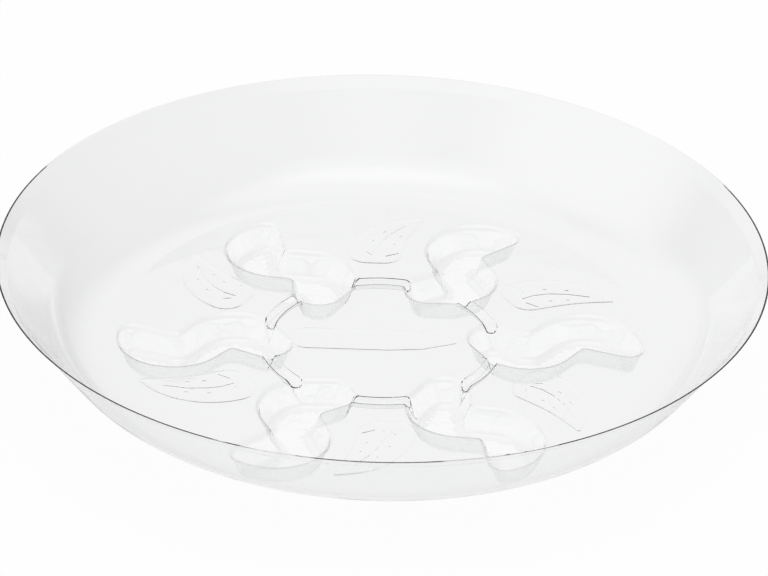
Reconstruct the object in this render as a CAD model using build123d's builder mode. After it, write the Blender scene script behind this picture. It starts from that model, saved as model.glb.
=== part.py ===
from build123d import *
import math
import os

os.makedirs("parts", exist_ok=True)

# Clear plastic plant saucer, drawn from one sheet. Lengths in millimetres, angles in degrees.
# The origin is the middle of the plane that the feet stand on.

# The dish
rim_radius = 152.4
rim_height = 51.0
sheet = 0.5
foot_height = 11.0
bend_radius = 30.5
wall_lean = 35.0
lip_width = 6.0
lip_lean = 42.0
lip_round = 8.0

# The feet
foot_count = 6
foot_draft = 19.0
sole_round = 3.0

# The sole's rounding takes at most this share of the sole's half width at the toe, its narrowest end
sole_width_share = 0.97

# The ring channel that joins the feet. Its middle lies this offset outside the middle of their heads
channel_offset = 0.8
channel_width = 4.9
channel_depth = 5.0
channel_draft = 12.0
channel_round = 1.2

# Roundings where feet and channel meet, and where both meet the floor
corner_round = 1.6
mouth_round = 0.3

# The sunk ornament of the floor: leaves round the middle, and a petal across it
ornament_depth = 0.5
leaf_turn = 30.0

# Joined forms run this far past the surface that they meet
overrun = 1.0

# Heights nearer than this are the same height
tolerance = 0.01

# A foot's mouth as a belt round six circles: x, y and radius as shares of the rim radius.
# A hollow circle, which the belt passes on its other side, has a negative radius.
foot_shares = {
    "head": (0.297, 0.024, 0.0650),
    "belly": (0.381, 0.016, 0.1320),
    "low_waist": (0.537, -0.023, -0.0175),
    "toe": (0.650, -0.005, 0.0370),
    "shoulder": (0.544, 0.012, 0.1430),
    "high_waist": (0.3845, 0.076, -0.0215),
}

# A leaf that points along X, as a belt round five circles in the same shares
leaf_shares = {
    "heel": (0.450, -0.002, 0.0500),
    "hollow": (0.422, -0.504, -0.4500),
    "tip": (0.6480, -0.1040, 0.0060),
    "back": (0.4453, -0.1098, 0.2068),
    "crown": (0.4546, 0.0417, 0.0553),
}

# The petal, blunt at one end and pointed at the other, as a belt round six circles in the same shares
petal_shares = {
    "point": (0.194, 0.000, 0.0105),
    "far_cheek": (0.100, 0.000, 0.0435),
    "far_side": (0.015, 0.000, 0.0520),
    "blunt_end": (-0.190, 0.000, 0.0510),
    "near_side": (0.015, 0.000, 0.0520),
    "near_cheek": (0.100, 0.000, 0.0435),
}

head_x, head_y = foot_shares["head"][:2]
channel_radius = rim_radius * math.hypot(head_x, head_y) + channel_offset


def at_height(height, level):
    return abs(height - level) < tolerance


def plan_radius(point):
    return math.hypot(point.X, point.Y)


def placed(shares, growth):
    # The circles of a belt in real sizes, each grown by the same amount
    return [
        (x * rim_radius, y * rim_radius, radius * rim_radius + growth)
        for x, y, radius in shares.values()
    ]


def foot_circles(depth, gap):
    # The belt of a foot at a depth below the floor, and at a gap from the sheet's underside
    draft = math.radians(foot_draft)
    return placed(foot_shares, (sheet - gap) / math.cos(draft) - depth * math.tan(draft))


def toe_circle(depth, gap):
    return foot_circles(depth, gap)[list(foot_shares).index("toe")]


def sole_rounding(gap):
    # Limited by the toe's sole on the water side, which has the underside's rounding less the sheet
    half_width = toe_circle(foot_height, sheet)[2]
    reach = math.tan(math.radians(90 - foot_draft) / 2)
    return min(sole_round, sheet + sole_width_share * half_width / reach) - gap


def belt(circles):
    # Draws an arc round each circle and the tangent line on to the next one
    touches = []
    for (x0, y0, r0), (x1, y1, r1) in zip(circles, circles[1:] + circles[:1]):
        span = math.hypot(x1 - x0, y1 - y0)
        angle = math.atan2(y1 - y0, x1 - x0) - math.acos((r0 - r1) / span)
        leave = (x0 + r0 * math.cos(angle), y0 + r0 * math.sin(angle))
        arrive = (x1 + r1 * math.cos(angle), y1 + r1 * math.sin(angle))
        touches.append((leave, arrive, angle))
    for i, (x, y, radius) in enumerate(circles):
        arrive, start_angle = touches[i - 1][1:]
        leave, _, end_angle = touches[i]
        turn = (end_angle - start_angle) % math.tau
        if radius < 0:
            turn -= math.tau
        middle = start_angle + turn / 2
        crest = (x + radius * math.cos(middle), y + radius * math.sin(middle))
        ThreePointArc(arrive, crest, leave)
        Line(leave, touches[i][1])


def dish_profile(gap):
    # Half of the dish's filled section: along the floor, round the bend and up the wall to the rim
    wall = math.radians(wall_lean)
    lip = math.radians(lip_lean)
    kink = (rim_radius - lip_width * math.sin(lip), rim_height - lip_width * math.cos(lip))
    wall_foot = foot_height + bend_radius * (1 - math.sin(wall))
    middle_x = kink[0] - (kink[1] - wall_foot) * math.tan(wall) - bend_radius * math.cos(wall)
    bend = CenterArc((middle_x, foot_height + bend_radius), bend_radius - gap, -90, 90 - wall_lean)
    step = gap / math.cos((lip - wall) / 2)
    mean = (wall + lip) / 2
    kink_in = (kink[0] - step * math.cos(mean), kink[1] + step * math.sin(mean))
    top = rim_height + (overrun if gap else 0)
    edge = (kink_in[0] + (top - kink_in[1]) * math.tan(lip), top)
    wall_line = FilletPolyline(bend @ 1, kink_in, edge, radius=lip_round + gap)
    Polyline(wall_line @ 1, (0, top), (0, foot_height + gap), bend @ 0)


def ornament(growth):
    # The sunk leaves and the petal between them, seen from above
    with BuildSketch() as leaf:
        with BuildLine():
            belt(placed(leaf_shares, growth))
        make_face()
    with BuildSketch() as pattern:
        with BuildLine():
            belt(placed(petal_shares, growth))
        make_face()
        with PolarLocations(0, foot_count, start_angle=leaf_turn):
            add(leaf.sketch)
    return pattern.sketch


def moulded_form(gap):
    # The saucer as a filled body. A gap of 0 gives its underside, and the sheet's thickness its water side
    floor = foot_height + gap
    floor_top = foot_height + sheet
    toe_x, toe_y, toe_radius = toe_circle(0, 0)
    foot_reach = math.hypot(toe_x, toe_y) + toe_radius
    pattern = ornament(sheet - gap)

    with BuildPart() as foot:
        with BuildSketch(Plane.XY.offset(floor - foot_height)):
            with BuildLine():
                belt(foot_circles(foot_height, gap))
            make_face()
        extrude(amount=foot_height + overrun, taper=-foot_draft)

    with BuildPart() as form:
        with BuildSketch(Plane.XZ):
            with BuildLine():
                dish_profile(gap)
            make_face()
        revolve(axis=Axis.Z)

        with BuildSketch(Plane.XZ):
            slope = math.tan(math.radians(channel_draft))
            half_width = channel_width / 2 + (sheet - gap) / math.cos(math.radians(channel_draft))
            mouth = half_width + (floor + overrun - floor_top) * slope
            bottom = half_width - (floor_top - floor + channel_depth) * slope
            with BuildLine():
                Polyline(
                    (channel_radius - mouth, floor + overrun),
                    (channel_radius - bottom, floor - channel_depth),
                    (channel_radius + bottom, floor - channel_depth),
                    (channel_radius + mouth, floor + overrun),
                    close=True,
                )
            section = make_face()
            fillet(section.vertices().group_by(Axis.Y)[0], channel_round - gap)
        revolve(axis=Axis.Z)

        with PolarLocations(0, foot_count):
            add(foot.part)

        # Upright corners first, so that the floor's edges then run on without a break
        corners = form.edges().filter_by(
            lambda edge: at_height(edge.bounding_box().max.Z, floor)
            and floor - foot_height + tolerance < edge.bounding_box().min.Z < floor - tolerance
        )
        fillet(corners, corner_round + gap)
        mouths = form.edges().filter_by(
            lambda edge: at_height(edge.bounding_box().min.Z, floor)
            and at_height(edge.bounding_box().max.Z, floor)
            and plan_radius(edge @ 0) < foot_reach
        )
        fillet(mouths, mouth_round + gap)
        soles = form.edges().filter_by(
            lambda edge: at_height(edge.bounding_box().max.Z, floor - foot_height)
        )
        fillet(soles, sole_rounding(gap))

        with BuildSketch(Plane.XY.offset(floor - ornament_depth)):
            add(pattern)
        extrude(amount=ornament_depth + overrun)
    return form.part


with BuildPart() as saucer:
    add(moulded_form(0))
    add(moulded_form(sheet), mode=Mode.SUBTRACT)

saucer.part.label = "saucer"
export_step(saucer.part, "parts/saucer.step")
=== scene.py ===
import math
import bpy
import numpy as np
from mathutils import Matrix, Vector
from mathutils.geometry import delaunay_2d_cdt


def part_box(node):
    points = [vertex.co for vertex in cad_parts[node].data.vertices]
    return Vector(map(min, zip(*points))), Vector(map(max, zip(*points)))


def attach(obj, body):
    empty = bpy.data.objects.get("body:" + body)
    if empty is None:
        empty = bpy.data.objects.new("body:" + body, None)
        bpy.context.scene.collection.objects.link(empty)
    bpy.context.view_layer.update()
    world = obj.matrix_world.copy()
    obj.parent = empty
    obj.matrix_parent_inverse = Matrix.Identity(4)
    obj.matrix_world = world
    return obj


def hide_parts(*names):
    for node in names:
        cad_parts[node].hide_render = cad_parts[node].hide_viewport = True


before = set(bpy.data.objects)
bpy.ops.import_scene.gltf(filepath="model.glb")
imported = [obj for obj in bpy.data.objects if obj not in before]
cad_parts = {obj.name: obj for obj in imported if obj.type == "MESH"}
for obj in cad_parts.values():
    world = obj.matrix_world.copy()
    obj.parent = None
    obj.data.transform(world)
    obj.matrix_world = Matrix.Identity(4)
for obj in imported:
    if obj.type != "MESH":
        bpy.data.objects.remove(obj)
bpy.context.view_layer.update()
_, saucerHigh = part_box("saucer")
mm = 0.001  # lengths below are in millimetres, and meshes in metres
farAway = 1e6  # farther than any distance on the saucer
print("frame loaded")


# one wrapper for node sockets, so that shader maths reads as sums

class Wire:
    def __init__(self, shader, socket):
        self.shader = shader
        self.socket = socket

    def maths(self, operation, first, second):
        return self.shader.node("ShaderNodeMath", {"operation": operation}, {0: first, 1: second})

    def __add__(self, other):
        return self.maths("ADD", self, other)

    def __radd__(self, other):
        return self.maths("ADD", other, self)

    def __mul__(self, other):
        return self.maths("MULTIPLY", self, other)

    def __rmul__(self, other):
        return self.maths("MULTIPLY", other, self)

    def atLeast(self, other):
        return self.maths("MAXIMUM", self, other)


class Shader:
    def __init__(self, owner):
        owner.use_nodes = True
        self.tree = owner.node_tree
        self.tree.nodes.clear()

    def node(self, kind, settings=None, sockets=None, output=0):
        made = self.tree.nodes.new(kind)
        for name, value in (settings or {}).items():
            setattr(made, name, value)
        for key, value in (sockets or {}).items():
            if isinstance(value, Wire):
                self.tree.links.new(value.socket, made.inputs[key])
            else:
                made.inputs[key].default_value = value
        return Wire(self, made.outputs[output]) if made.outputs else None


# the saucer's own sizes

dish = {
    "rimRadius": saucerHigh.x / mm,
    "rimHeight": saucerHigh.z / mm,
    "sheet": 0.5,
    "floorTop": 11.5,  # height of the side that holds water
    "bendRadius": 30.0,
    "wallLean": 35.0,  # degrees from upright
    "lipLean": 42.0,
    "lipWidth": 6.0,
    "lipRound": 8.5,
    "roundSteps": 360,  # points on each ring of the wall
    "bendSteps": 16,  # rings on the bend, and above it on the straight wall
    "wallSteps": 6,
}
foot = {
    "count": 6,
    "depth": 11.0,
    "draft": 19.0,
    "mouthRound": 2.8,
    "soleRound": 2.5,
    # circles that the outline is drawn round: x, y and radius as shares of the rim radius.
    # The outline passes a circle with a negative radius on its other side.
    "shares": [
        (0.297, 0.024, 0.0650),
        (0.381, 0.016, 0.1320),
        (0.537, -0.023, -0.0175),
        (0.650, -0.005, 0.0370),
        (0.544, 0.012, 0.1430),
        (0.3845, 0.076, -0.0215),
    ],
}
# the ring channel that joins the feet
channel = {
    "radius": 46.2,
    "halfWidth": 2.45,
    "depth": 3.0,
    "run": 1.35,
    "mouthRound": 0.52,
    "lowRound": 1.0,
    "cornerBlend": 1.9,  # how far from its edge the corner between channel and foot is rounded
}
# a sunk leaf between two feet
leaf = {
    "turn": 30.0,
    "depth": 0.28,
    "run": 0.9,
    "mouthRound": 2.2,
    "lowRound": 1.8,
    # circles as for the feet, of a leaf that points along X
    "shares": [
        (0.4500, -0.0020, 0.0500),
        (0.4220, -0.5040, -0.4500),
        (0.6480, -0.1040, 0.0060),
        (0.4453, -0.1098, 0.2068),
        (0.4546, 0.0417, 0.0553),
    ],
    # the midrib and the small marks beside it, as lines in shares of the rim radius
    "midribShares": [
        (0.443, 0.015), (0.478, 0.016), (0.516, 0.005), (0.559, -0.018), (0.606, -0.057),
    ],
    "markShares": [
        [(0.447, 0.033), (0.459, 0.043)],
        [(0.517, 0.030), (0.523, 0.028)],
        [(0.567, 0.000), (0.573, -0.004)],
        [(0.441, -0.009), (0.457, -0.040)],
        [(0.501, -0.028), (0.507, -0.030)],
        [(0.543, -0.044), (0.549, -0.047)],
    ],
    "lineHeight": 0.1,
    "lineWidth": 0.8,
}
# the sunk petal across the middle, which runs into one foot's head
petal = {
    "depth": 0.22,
    "run": 0.9,
    "mouthRound": 2.6,
    "lowRound": 2.0,
    # circles as for the feet
    "shares": [
        (0.194, 0.000, 0.0105),
        (0.100, 0.000, 0.0435),
        (0.015, 0.000, 0.0520),
        (-0.190, 0.000, 0.0510),
        (0.015, 0.000, 0.0520),
        (0.100, 0.000, 0.0435),
    ],
}
# the slight unevenness of a drawn sheet: two crossing waves, kept just below the floor's level
wave = {
    "height": 0.05,
    "length": 34.0,
    "phaseX": 1.3,
    "phaseY": 0.4,
    "stretchY": 0.8,
    "secondShare": 0.5,
    "secondX": 0.6,
    "secondY": 1.7,
    "sink": 1.5,
    "edgeFade": 12.0,  # the waves fade out over this distance from the bend
}
# the points that the floor's mesh is made from. Steps are distances from point to point.
net = {
    "arcStep": 0.1,  # the largest turn between neighbouring points of an arc, in radians
    # lines round a foot: outward in parts of the mouth's rounding,
    # inward in parts of the wall's run, and outward from the sole's outline
    "mouthShares": (0.72, 0.6, 0.48, 0.36, 0.24, 0.12, 0.02, -0.08, -0.17, -0.26, -0.4),
    "mouthStep": 1.0,
    "wallShares": (0.22, 0.36, 0.5, 0.64, 0.76),
    "wallStep": 1.1,
    "soleOffsets": (0.62, 0.45, 0.2, -0.1, -0.45, -0.85, -1.3, -1.75),
    "soleStep": 0.9,
    # rings on both sides of the channel's middle, which run on into a foot for this distance
    "channelOffsets": (
        2.95, 2.8, 2.68, 2.55, 2.42, 2.3, 2.15, 1.9, 1.6, 1.35, 1.15, 0.9, 0.65, 0.4, 0.0,
    ),
    "channelStep": 1.0,
    "channelReach": 2.0,
    # lines outward from the outlines of leaves and petal
    "patternOffsets": (0.35, 0.1, -0.15, -0.4, -0.65, -0.9),
    "patternStep": 0.9,
    # a fine lattice where channel and feet meet: near the line between them,
    # and outward and inward of the foot's mouth
    "cornerStep": 0.42,
    "cornerNear": 2.2,
    "cornerOut": 1.8,
    "cornerIn": 3.0,
    "cornerMargin": 8.0,  # how far it is laid out beyond the channel's middle
    # a fine one along the leaves' raised lines, laid out to this share of the rim radius
    "lineStep": 0.4,
    "lineReach": 0.9,
    "lineShare": 0.68,
    # a wide one on the flat parts, and how far it and all the other points keep from the bend
    "wideStep": 2.6,
    "wideMargin": 1.5,
    "edgeMargin": 0.8,
    "cell": 0.12,  # of the points in a square of this size one is kept
    "tolerance": 1e-5,
    "slopeReach": 0.02,  # slopes are measured over this distance to each side
}


def beltPieces(circles):
    # the arcs and straight runs of a band laid round circles, in order
    touches = []
    for (x0, y0, r0), (x1, y1, r1) in zip(circles, circles[1:] + circles[:1]):
        span = math.hypot(x1 - x0, y1 - y0)
        angle = math.atan2(y1 - y0, x1 - x0) - math.acos((r0 - r1) / span)
        across = Vector((math.cos(angle), math.sin(angle)))
        touches.append((Vector((x0, y0)) + r0 * across, Vector((x1, y1)) + r1 * across, angle))
    pieces = []
    for i, (x, y, radius) in enumerate(circles):
        turn = (touches[i][2] - touches[i - 1][2]) % math.tau
        if radius < 0:
            turn -= math.tau
        pieces.append(("arc", x, y, radius, touches[i - 1][2], turn))
        pieces.append(("run", touches[i][0], touches[i][1]))
    return pieces


def insideDistance(x, y, circles):
    # signed distance to that band, above zero inside it
    best = np.full(x.shape, -farAway)
    slack = 1e-3  # neighbouring pieces overlap by this much, so that no point falls between them
    for piece in beltPieces(circles):
        if piece[0] == "arc":
            _, cx, cy, radius, start, turn = piece
            middle = start + turn / 2
            away = np.hypot(x - cx, y - cy)
            facing = (x - cx) * math.cos(middle) + (y - cy) * math.sin(middle)
            signed = (abs(radius) - away) * math.copysign(1, radius)
            facing = facing * math.copysign(1, radius)
            near = facing >= away * math.cos(turn / 2) - slack
        else:
            _, start, end = piece
            along = (end - start).normalized()
            travel = (x - start.x) * along.x + (y - start.y) * along.y
            signed = (y - start.y) * along.x - (x - start.x) * along.y
            near = (travel >= -slack) & (travel <= (end - start).length + slack)
        closer = near & (np.abs(signed) < np.abs(best))
        best = np.where(closer, signed, best)
    return best


def beltPoints(circles, spacing):
    # points along that band's outline
    points = []
    for piece in beltPieces(circles):
        if piece[0] == "arc":
            _, cx, cy, radius, start, turn = piece
            turns = math.ceil(abs(turn) / net["arcStep"])
            count = max(2, math.ceil(abs(turn * radius) / spacing), turns)
            for i in range(count):
                angle = start + turn * i / count
                points.append((cx + radius * math.cos(angle), cy + radius * math.sin(angle)))
        else:
            _, start, end = piece
            count = max(1, math.ceil((end - start).length / spacing))
            points += [tuple(start.lerp(end, i / count)) for i in range(count)]
    return points


def sized(shares, growth=0.0):
    # circles in millimetres, each grown by the same amount
    return [
        (x * dish["rimRadius"], y * dish["rimRadius"], radius * dish["rimRadius"] + growth)
        for x, y, radius in shares
    ]


def footCircles(depthShare, growth=0.0):
    # the foot's band at a share of its depth
    return sized(foot["shares"], growth - footRun() * depthShare)


def footRun():
    # how far a foot's wall leans in from its mouth to its sole
    return foot["depth"] * math.tan(math.radians(foot["draft"]))


def folded(x, y, turn):
    # the floor repeats with every foot, so a point is turned back into the first foot's share of it
    sector = math.tau / foot["count"]
    angle = np.arctan2(y, x) - math.radians(turn)
    angle = angle - np.round(angle / sector) * sector
    radius = np.hypot(x, y)
    return radius * np.cos(angle), radius * np.sin(angle)


def wallDrop(inside, run, drop, edgeRound, lowRound):
    # how far down the sheet is at a distance inside a mouth, with both edges of the wall rounded
    slope = np.arctan2(drop, run)
    edge = edgeRound * np.tan(slope / 2)
    low = lowRound * np.tan(slope / 2)
    down = np.clip(inside / run, 0, 1) * drop
    past = inside + edge
    left = run + low - inside
    onEdge = (past > 0) & (inside < edge * np.cos(slope))
    onLow = (left > 0) & (inside > run - low * np.cos(slope))
    down = np.where(onEdge, edgeRound - np.sqrt(np.clip(edgeRound**2 - past**2, 0, None)), down)
    return np.where(onLow, drop - lowRound + np.sqrt(np.clip(lowRound**2 - left**2, 0, None)), down)


def formDrop(inside, form):
    return wallDrop(inside, form["run"], form["depth"], form["mouthRound"], form["lowRound"])


def lineDistance(x, y, line):
    # distance to a line of straight runs
    best = np.full(x.shape, farAway)
    for (x0, y0), (x1, y1) in zip(line, line[1:]):
        x0, y0, x1, y1 = (value * dish["rimRadius"] for value in (x0, y0, x1, y1))
        length = (x1 - x0) ** 2 + (y1 - y0) ** 2
        share = np.clip(((x - x0) * (x1 - x0) + (y - y0) * (y1 - y0)) / length, 0, 1)
        best = np.minimum(best, np.hypot(x - x0 - share * (x1 - x0), y - y0 - share * (y1 - y0)))
    return best


def leafLineDistance(x, y):
    # distance to the nearest of a leaf's raised lines
    best = lineDistance(x, y, leaf["midribShares"])
    for mark in leaf["markShares"]:
        best = np.minimum(best, lineDistance(x, y, mark))
    return best


def floorHeight(x, y):
    # height of the water side of the floor
    footX, footY = folded(x, y, 0)
    mouthIn = insideDistance(footX, footY, footCircles(0))
    ringIn = channel["halfWidth"] - np.abs(np.hypot(x, y) - channel["radius"])
    # where both are about as far inside, they count as a little farther in, which rounds the corner
    near = np.clip(1 - np.abs(mouthIn - ringIn) / channel["cornerBlend"], 0, None)
    bonus = near**2 * channel["cornerBlend"] / 4
    footDown = wallDrop(
        mouthIn + bonus, footRun(), foot["depth"], foot["mouthRound"], foot["soleRound"]
    )
    down = np.maximum(footDown, formDrop(ringIn + bonus, channel))

    leafX, leafY = folded(x, y, leaf["turn"])
    leafIn = insideDistance(leafX, leafY, sized(leaf["shares"]))
    petalIn = insideDistance(x, y, sized(petal["shares"]))
    down = np.maximum(down, formDrop(leafIn, leaf) + formDrop(petalIn, petal))
    lines = leafLineDistance(leafX, leafY)
    down = down - leaf["lineHeight"] * np.exp(-((lines / (leaf["lineWidth"] / 2)) ** 2))

    turn = math.tau / wave["length"]
    first = np.sin(x * turn + wave["phaseX"]) * np.cos(y * turn * wave["stretchY"] - wave["phaseY"])
    second = np.sin(y * turn * wave["secondY"] + x * turn * wave["secondX"])
    ripple = first + wave["secondShare"] * second - wave["sink"]
    flat = np.clip((bendStart() - np.hypot(x, y)) / wave["edgeFade"], 0, 1)
    level = np.clip(1 - down / foot["depth"], 0, 1)  # none on the soles, which stand on the table
    return dish["floorTop"] - down + wave["height"] * ripple * flat * level


def kinkPoint():
    # where the wall turns into the lip, on the underside, as radius and height
    lip = math.radians(dish["lipLean"])
    return (
        dish["rimRadius"] - dish["lipWidth"] * math.sin(lip),
        dish["rimHeight"] - dish["lipWidth"] * math.cos(lip),
    )


def bendStart():
    # the radius at which the floor begins to bend up
    wall = math.radians(dish["wallLean"])
    outer = dish["bendRadius"] + dish["sheet"]
    wallFoot = dish["floorTop"] - dish["sheet"] + outer * (1 - math.sin(wall))
    kinkRadius, kinkHeight = kinkPoint()
    return kinkRadius - (kinkHeight - wallFoot) * math.tan(wall) - outer * math.cos(wall)


def wallProfile():
    # radius, height and inward tilt of the water side, from the floor to the rim
    wall, lip = math.radians(dish["wallLean"]), math.radians(dish["lipLean"])
    middle = (bendStart(), dish["floorTop"] + dish["bendRadius"])
    rings = []
    for i in range(dish["bendSteps"] + 1):
        tilt = (math.pi / 2 - wall) * i / dish["bendSteps"]
        radius = middle[0] + dish["bendRadius"] * math.sin(tilt)
        rings.append((radius, middle[1] - dish["bendRadius"] * math.cos(tilt), tilt))
    kinkRadius, kinkHeight = kinkPoint()
    step = dish["sheet"] / math.cos((lip - wall) / 2)
    mean = (wall + lip) / 2
    kink = (kinkRadius - step * math.cos(mean), kinkHeight + step * math.sin(mean))
    half = dish["lipRound"] * math.tan((lip - wall) / 2)
    wallEnd = (kink[0] - half * math.sin(wall), kink[1] - half * math.cos(wall))
    startRadius, startHeight, tilt = rings[-1]
    for i in range(1, dish["wallSteps"] + 1):
        share = i / dish["wallSteps"]
        rings.append((
            startRadius + (wallEnd[0] - startRadius) * share,
            startHeight + (wallEnd[1] - startHeight) * share,
            tilt,
        ))
    rings.append((kink[0], kink[1], math.pi / 2 - mean))
    lipTilt = math.pi / 2 - lip
    rings.append((kink[0] + half * math.sin(lip), kink[1] + half * math.cos(lip), lipTilt))
    edgeRadius = kink[0] + (dish["rimHeight"] - kink[1]) * math.tan(lip)
    rings.append((edgeRadius, dish["rimHeight"], lipTilt))
    return rings


def turned(points, turn):
    # copies a list of points once for every foot
    points = np.array(points)
    copies = []
    for i in range(foot["count"]):
        angle = math.radians(turn) + math.tau * i / foot["count"]
        c, s = math.cos(angle), math.sin(angle)
        copies.append(points @ np.array([[c, s], [-s, c]]))
    return np.vstack(copies)


def gridPoints(reach, spacing):
    # a square of points in rows, every other row half a step along
    lines = np.arange(-reach, reach, spacing)
    x, y = np.meshgrid(lines, lines)
    x = x + (np.arange(len(lines)) % 2)[:, None] * spacing / 2
    return np.stack([x.ravel(), y.ravel()], 1)


def floorPoints():
    # points where the floor's form needs them: close on roundings, wide apart on flat parts
    sets = []
    for share in net["mouthShares"]:
        circles = footCircles(0, share * foot["mouthRound"])
        sets.append(turned(beltPoints(circles, net["mouthStep"]), 0))
    for share in net["wallShares"]:
        sets.append(turned(beltPoints(footCircles(share), net["wallStep"]), 0))
    for growth in net["soleOffsets"]:
        sets.append(turned(beltPoints(footCircles(1, growth), net["soleStep"]), 0))
    for offset in net["channelOffsets"]:
        for side in (-1, 1):
            radius = channel["radius"] + side * offset
            angle = np.arange(0, 1, 1 / round(math.tau * radius / net["channelStep"])) * math.tau
            ring = np.stack([radius * np.cos(angle), radius * np.sin(angle)], 1)
            folds = folded(ring[:, 0], ring[:, 1], 0)
            sets.append(ring[insideDistance(*folds, footCircles(0)) < net["channelReach"]])
    for growth in net["patternOffsets"]:
        leafPoints = beltPoints(sized(leaf["shares"], growth), net["patternStep"])
        sets.append(turned(leafPoints, leaf["turn"]))
        sets.append(np.array(beltPoints(sized(petal["shares"], growth), net["patternStep"])))

    fine = gridPoints(channel["radius"] + net["cornerMargin"], net["cornerStep"])
    mouthIn = insideDistance(*folded(fine[:, 0], fine[:, 1], 0), footCircles(0))
    ringIn = channel["halfWidth"] - np.abs(np.hypot(fine[:, 0], fine[:, 1]) - channel["radius"])
    common = np.abs(mouthIn - ringIn) < net["cornerNear"]
    sets.append(fine[common & (mouthIn > -net["cornerOut"]) & (mouthIn < net["cornerIn"])])

    fine = gridPoints(dish["rimRadius"] * net["lineShare"], net["lineStep"])
    lines = leafLineDistance(*folded(fine[:, 0], fine[:, 1], leaf["turn"]))
    sets.append(fine[lines < net["lineReach"]])

    wide = gridPoints(bendStart(), net["wideStep"])
    sets.append(wide[np.hypot(wide[:, 0], wide[:, 1]) < bendStart() - net["wideMargin"]])
    points = np.vstack(sets)
    points = points[np.hypot(points[:, 0], points[:, 1]) < bendStart() - net["edgeMargin"]]
    cells = np.round(points / net["cell"]).astype(int)
    _, keep = np.unique(cells, axis=0, return_index=True)
    return points[np.sort(keep)]


def saucerMesh():
    # the floor's plan as triangles, inside the ring where the bend starts
    steps = dish["roundSteps"]
    start = bendStart()
    angles = np.arange(steps) * math.tau / steps
    circle = np.stack([np.cos(angles), np.sin(angles)], 1)
    flat = np.vstack([circle * start, floorPoints()])
    loop = list(range(steps))
    out = delaunay_2d_cdt([Vector(p) for p in flat], [], [loop], 1, net["tolerance"], True)
    plan = np.array([tuple(p) for p in out[0]])
    source = [min(ids) if ids else -1 for ids in out[3]]
    order = {old: new for new, old in enumerate(source)}
    print("floor points", len(plan), "triangles", len(out[2]))

    # its heights and normals, level on the ring
    x, y = plan[:, 0], plan[:, 1]
    height = floorHeight(x, y)
    reach = net["slopeReach"]
    slopeX = (floorHeight(x + reach, y) - floorHeight(x - reach, y)) / (2 * reach)
    slopeY = (floorHeight(x, y + reach) - floorHeight(x, y - reach)) / (2 * reach)
    normal = np.stack([-slopeX, -slopeY, np.ones(len(plan))], 1)
    normal /= np.linalg.norm(normal, axis=1)[:, None]
    onRing = [order[i] for i in range(steps)]
    normal[onRing] = (0, 0, 1)
    height[onRing] = dish["floorTop"]
    top = [np.column_stack([plan, height])]
    normals = [normal]

    # the wall's rings, and the underside, which lies the sheet's thickness below
    # and meets the water side at the rim
    rings = wallProfile()
    for radius, level, tilt in rings[1:]:
        top.append(np.column_stack([circle * radius, np.full(steps, level)]))
        normals.append(np.column_stack([-circle * math.sin(tilt), np.full(steps, math.cos(tilt))]))
    top = np.vstack(top)
    normals = np.vstack(normals)
    under = top - dish["sheet"] * normals
    rim = np.column_stack([circle * dish["rimRadius"], np.full(steps, dish["rimHeight"])])
    under[-steps:] = rim
    under[:, 2] = np.maximum(under[:, 2], 0.0)

    # faces, every one turned outward
    faces = [tuple(face) for face in out[2]]
    faces = [face if isUp(plan, face) else face[::-1] for face in faces]
    lower = onRing
    for k in range(len(rings) - 1):
        upper = [len(plan) + k * steps + i for i in range(steps)]
        for i in range(steps):
            j = (i + 1) % steps
            faces.append((lower[i], lower[j], upper[j], upper[i]))
        lower = upper
    faces = [orient(top, normals, face) for face in faces]
    shift = len(top)
    underFaces = [tuple(v + shift for v in face[::-1]) for face in faces]
    rimFaces = []
    for i in range(steps):
        j = (i + 1) % steps
        rimFaces.append((lower[i] + shift, lower[j] + shift, lower[j], lower[i]))
    allFaces = faces + underFaces + rimFaces

    # the mesh with these normals, so that roundings look smooth
    mesh = bpy.data.meshes.new("saucer_sheet")
    mesh.from_pydata((np.vstack([top, under]) * mm).tolist(), [], allFaces)
    mesh.polygons.foreach_set("use_smooth", [True] * len(allFaces))
    corner = np.vstack([normals, -normals])
    loops = np.array([v for face in faces + underFaces for v in face])
    flatRim = np.tile((0.0, 0.0, 1.0), (4 * steps, 1))
    mesh.normals_split_custom_set(np.vstack([corner[loops], flatRim]).tolist())
    mesh.update()
    return mesh


def isUp(plan, face):
    a, b, c = (plan[v] for v in face[:3])
    return (b[0] - a[0]) * (c[1] - a[1]) - (b[1] - a[1]) * (c[0] - a[0]) > 0


def orient(points, normals, face):
    a, b, c = (points[v] for v in face[:3])
    return face if np.dot(np.cross(b - a, c - a), normals[face[0]]) > 0 else face[::-1]


# the plastic: haze makes it rougher in places, and waves from the drawing bend its reflections
plastic = {
    "colour": (0.963, 0.965, 0.967, 1.0),
    "ior": 1.54,
    "haze": {"Scale": 22.0, "Detail": 3.0},
    "hazeRoughness": 0.05,
    "waves": {"Scale": 38.0, "Detail": 2.0},
    "waveBump": {"Strength": 0.06, "Distance": 0.0006},
}


def clearPlastic():
    material = bpy.data.materials.new("clearPlastic")
    shader = Shader(material)
    place = shader.node("ShaderNodeTexCoord", output="Object")
    haze = shader.node("ShaderNodeTexNoise", {}, {"Vector": place, **plastic["haze"]})
    waves = shader.node("ShaderNodeTexNoise", {}, {"Vector": place, **plastic["waves"]})
    bump = shader.node("ShaderNodeBump", {}, {"Height": waves, **plastic["waveBump"]})
    clear = shader.node("ShaderNodeBsdfPrincipled", {}, {
        "Base Color": plastic["colour"],
        "Roughness": haze * plastic["hazeRoughness"],
        "IOR": plastic["ior"],
        "Transmission Weight": 1.0,
        "Normal": bump,
    })
    shader.node("ShaderNodeOutputMaterial", {}, {"Surface": clear})
    return material


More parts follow.
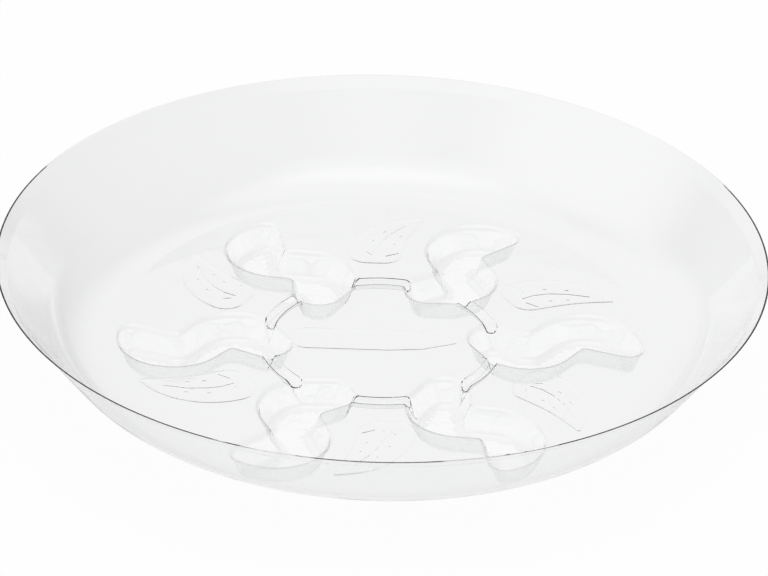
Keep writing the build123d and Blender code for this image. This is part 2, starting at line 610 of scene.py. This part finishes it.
mesh = saucerMesh()
saucer = bpy.data.objects.new("saucer_sheet", mesh)
bpy.context.scene.collection.objects.link(saucer)
saucer.data.materials.append(clearPlastic())
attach(saucer, "root")
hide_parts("saucer")
print("saucer made", len(mesh.vertices), "vertices", len(mesh.polygons), "faces")


# floor, lamps and camera

studio = {
    "floorSize": 8.0,  # metres
    "floorPaint": (0.95, 0.95, 0.95, 1.0),
    "floorGlow": 0.97,
    "backdrop": 0.985,  # what a low view shows beyond the floor
    "dim": 0.06,
    # each soft light: direction and rise above the floor in degrees,
    # full inside one angle and gone outside the other
    "softLights": [
        {"turn": 106, "rise": 25, "inner": 20, "outer": 50, "level": 0.62},
        {"turn": 90, "rise": 88, "inner": 14, "outer": 34, "level": 0.55},
        {"turn": 196, "rise": 32, "inner": 10, "outer": 44, "level": 0.62},
        {"turn": -90, "rise": 66, "inner": 6, "outer": 34, "level": 0.5},
    ],
    # the bright band runs up to this height, and as far back as this,
    # both as parts of a unit direction
    "bandTop": 0.3,
    "bandFoot": 0.1,
    "bandBack": 0.45,
    "bandFront": 0.1,
    "bandLevel": 1.0,
    # a fainter band runs all the way round, so that floor and room meet softly
    "skirtTop": 0.18,
    "skirtFoot": -0.02,
    "skirtLevel": 0.6,
    # how much of its white the floor shows in reflections near the saucer
    "mirroredGlow": 0.7,
    # from the near reach to the far one, in metres, that falls to none,
    # and what is seen through the saucer falls to this share
    "nearReach": 0.24,
    "farReach": 0.6,
    "farShare": 0.6,
    # painted shade: seen through the saucer, the floor's glow is turned down on the left, so the
    # floor is a little darker there, from the first place to the second, in metres
    "leftPaintedShadeGlow": 0.935,
    "leftStart": -0.04,
    "leftEnd": -0.14,
}


def paleFloor():
    material = bpy.data.materials.new("paleFloor")
    shader = Shader(material)
    seen = shader.node("ShaderNodeLightPath", output="Is Camera Ray")
    mirrored = shader.node("ShaderNodeLightPath", output="Is Glossy Ray")
    through = shader.node("ShaderNodeLightPath", output="Is Transmission Ray")
    place = shader.node("ShaderNodeTexCoord", output="Object")
    sideways = shader.node("ShaderNodeSeparateXYZ", {}, {0: place}, output="X")
    distance = shader.node("ShaderNodeVectorMath", {"operation": "LENGTH"}, {0: place}, "Value")
    # painted shade: less glow towards the left, which darkens the floor seen through the saucer
    # there
    glowWithLeftPaintedShade = shader.node("ShaderNodeMapRange", {"interpolation_type": "SMOOTHSTEP"}, {
        "Value": sideways,
        "From Min": studio["leftStart"],
        "From Max": studio["leftEnd"],
        "To Min": studio["floorGlow"],
        "To Max": studio["leftPaintedShadeGlow"],
    })
    near = shader.node("ShaderNodeMapRange", {"interpolation_type": "SMOOTHSTEP"}, {
        "Value": distance,
        "From Min": studio["farReach"],
        "From Max": studio["nearReach"],
    })
    seenThrough = through * glowWithLeftPaintedShade * (near * (1 - studio["farShare"]) + studio["farShare"])
    seenMirrored = mirrored * near * studio["mirroredGlow"]
    share = (seen * studio["floorGlow"]).atLeast(seenThrough).atLeast(seenMirrored)
    paint = shader.node("ShaderNodeBsdfDiffuse", {}, {"Color": studio["floorPaint"]})
    glow = shader.node("ShaderNodeEmission", {}, {"Color": (1.0, 1.0, 1.0, 1.0), "Strength": 1.0})
    both = shader.node("ShaderNodeMixShader", {}, {0: share, 1: paint, 2: glow})
    shader.node("ShaderNodeOutputMaterial", {}, {"Surface": both})
    return material


def makeFloor():
    half = studio["floorSize"] / 2
    corners = [(-half, -half, 0), (half, -half, 0), (half, half, 0), (-half, half, 0)]
    plane = bpy.data.meshes.new("floor")
    plane.from_pydata(corners, [], [(0, 1, 2, 3)])
    floor = bpy.data.objects.new("floor", plane)
    bpy.context.scene.collection.objects.link(floor)
    plane.materials.append(paleFloor())


def makeWorld():
    # a dim room with soft bright places, a bright band low down in front and at the sides
    # and a fainter one all round. The camera itself sees the backdrop.
    world = bpy.data.worlds.new("studio")
    bpy.context.scene.world = world
    shader = Shader(world)
    direction = shader.node("ShaderNodeTexCoord", output="Generated")

    def soft(value, low, high):
        sockets = {"Value": value, "From Min": low, "From Max": high}
        return shader.node("ShaderNodeMapRange", {"interpolation_type": "SMOOTHSTEP"}, sockets)

    back = shader.node("ShaderNodeSeparateXYZ", {}, {0: direction}, output="Y")
    up = shader.node("ShaderNodeSeparateXYZ", {}, {0: direction}, output="Z")
    room = studio["dim"]
    for light in studio["softLights"]:
        turn, rise = math.radians(light["turn"]), math.radians(light["rise"])
        towards = (math.cos(turn) * math.cos(rise), math.sin(turn) * math.cos(rise), math.sin(rise))
        sockets = {0: direction, 1: towards}
        facing = shader.node("ShaderNodeVectorMath", {"operation": "DOT_PRODUCT"}, sockets, "Value")
        outer, inner = (math.cos(math.radians(angle)) for angle in (light["outer"], light["inner"]))
        room = room + light["level"] * soft(facing, outer, inner)
    inFront = soft(back, studio["bandBack"], studio["bandFront"])
    band = soft(up, studio["bandTop"], studio["bandFoot"]) * inFront
    skirt = soft(up, studio["skirtTop"], studio["skirtFoot"])
    room = room.atLeast(band * studio["bandLevel"]).atLeast(skirt * studio["skirtLevel"])
    seen = shader.node("ShaderNodeLightPath", output="Is Camera Ray")
    room = room.atLeast(seen * studio["backdrop"])
    shader.node("ShaderNodeOutputWorld", {}, {
        "Surface": shader.node("ShaderNodeBackground", {}, {"Color": room, "Strength": 1.0}),
    })


# a large soft lamp overhead, in metres and watts
topLamp = {
    "place": (0.5, -0.6, 2.4),
    "aim": (0, 0, 0.03),
    "size": (2.4, 2.4),
    "power": 26,
}


def makeLamp():
    # the clear sheet doesn't show the lamp, as its reflections are the room's
    lamp = bpy.data.lights.new("softTop", "AREA")
    lamp.shape = "RECTANGLE"
    lamp.size, lamp.size_y = topLamp["size"]
    lamp.energy = topLamp["power"]
    thing = bpy.data.objects.new("softTop", lamp)
    bpy.context.scene.collection.objects.link(thing)
    thing.visible_glossy = False
    thing.visible_transmission = False
    thing.location = topLamp["place"]
    ahead = Vector(topLamp["aim"]) - Vector(topLamp["place"])
    thing.rotation_euler = ahead.to_track_quat("-Z", "Y").to_euler()


# the photograph's view, from a fit of its rim and floor; lengths in rim radii, angles in radians
view = {
    "focalPixels": 4306.76,
    "imageWidth": 768,
    "sensor": 36.0,  # millimetres
    "distance": 11.16055,
    "elevation": 0.523657,
    "yaw": 0.000441,
    "pitch": -0.007928,
    "roll": 0.028415,
    "clipEnd": 50.0,  # metres
}


def makeCamera():
    radius = dish["rimRadius"] * mm
    along, rise = math.cos(view["elevation"]), math.sin(view["elevation"])
    place = Vector((0, -along, rise)) * view["distance"]
    ahead = -place.normalized()
    right = Vector((1, 0, 0))
    up = right.cross(ahead)
    ahead = (ahead + math.tan(view["yaw"]) * right + math.tan(view["pitch"]) * up).normalized()
    right = ahead.cross(Vector((0, 0, 1))).normalized()
    up = right.cross(ahead)
    c, s = math.cos(view["roll"]), math.sin(view["roll"])
    right, up = c * right + s * up, c * up - s * right
    camera = bpy.data.objects.new("camera", bpy.data.cameras.new("camera"))
    camera.data.sensor_width = view["sensor"]
    camera.data.lens = view["focalPixels"] / view["imageWidth"] * view["sensor"]
    camera.data.clip_end = view["clipEnd"]
    turn = Matrix((right, up, -ahead)).transposed().to_4x4()
    turn.translation = place * radius + Vector((0, 0, dish["rimHeight"] * mm))
    camera.matrix_world = turn
    bpy.context.scene.collection.objects.link(camera)
    bpy.context.scene.camera = camera


makeFloor()
makeWorld()
makeLamp()
makeCamera()
bpy.context.scene.view_settings.view_transform = "Standard"
# light stays long enough inside the thin sheet to find its way out
bounces = {"max_bounces": 32, "glossy_bounces": 24, "transmission_bounces": 32}
for name, count in bounces.items():
    setattr(bpy.context.scene.cycles, name, count)
print("floor, lamps and camera made")
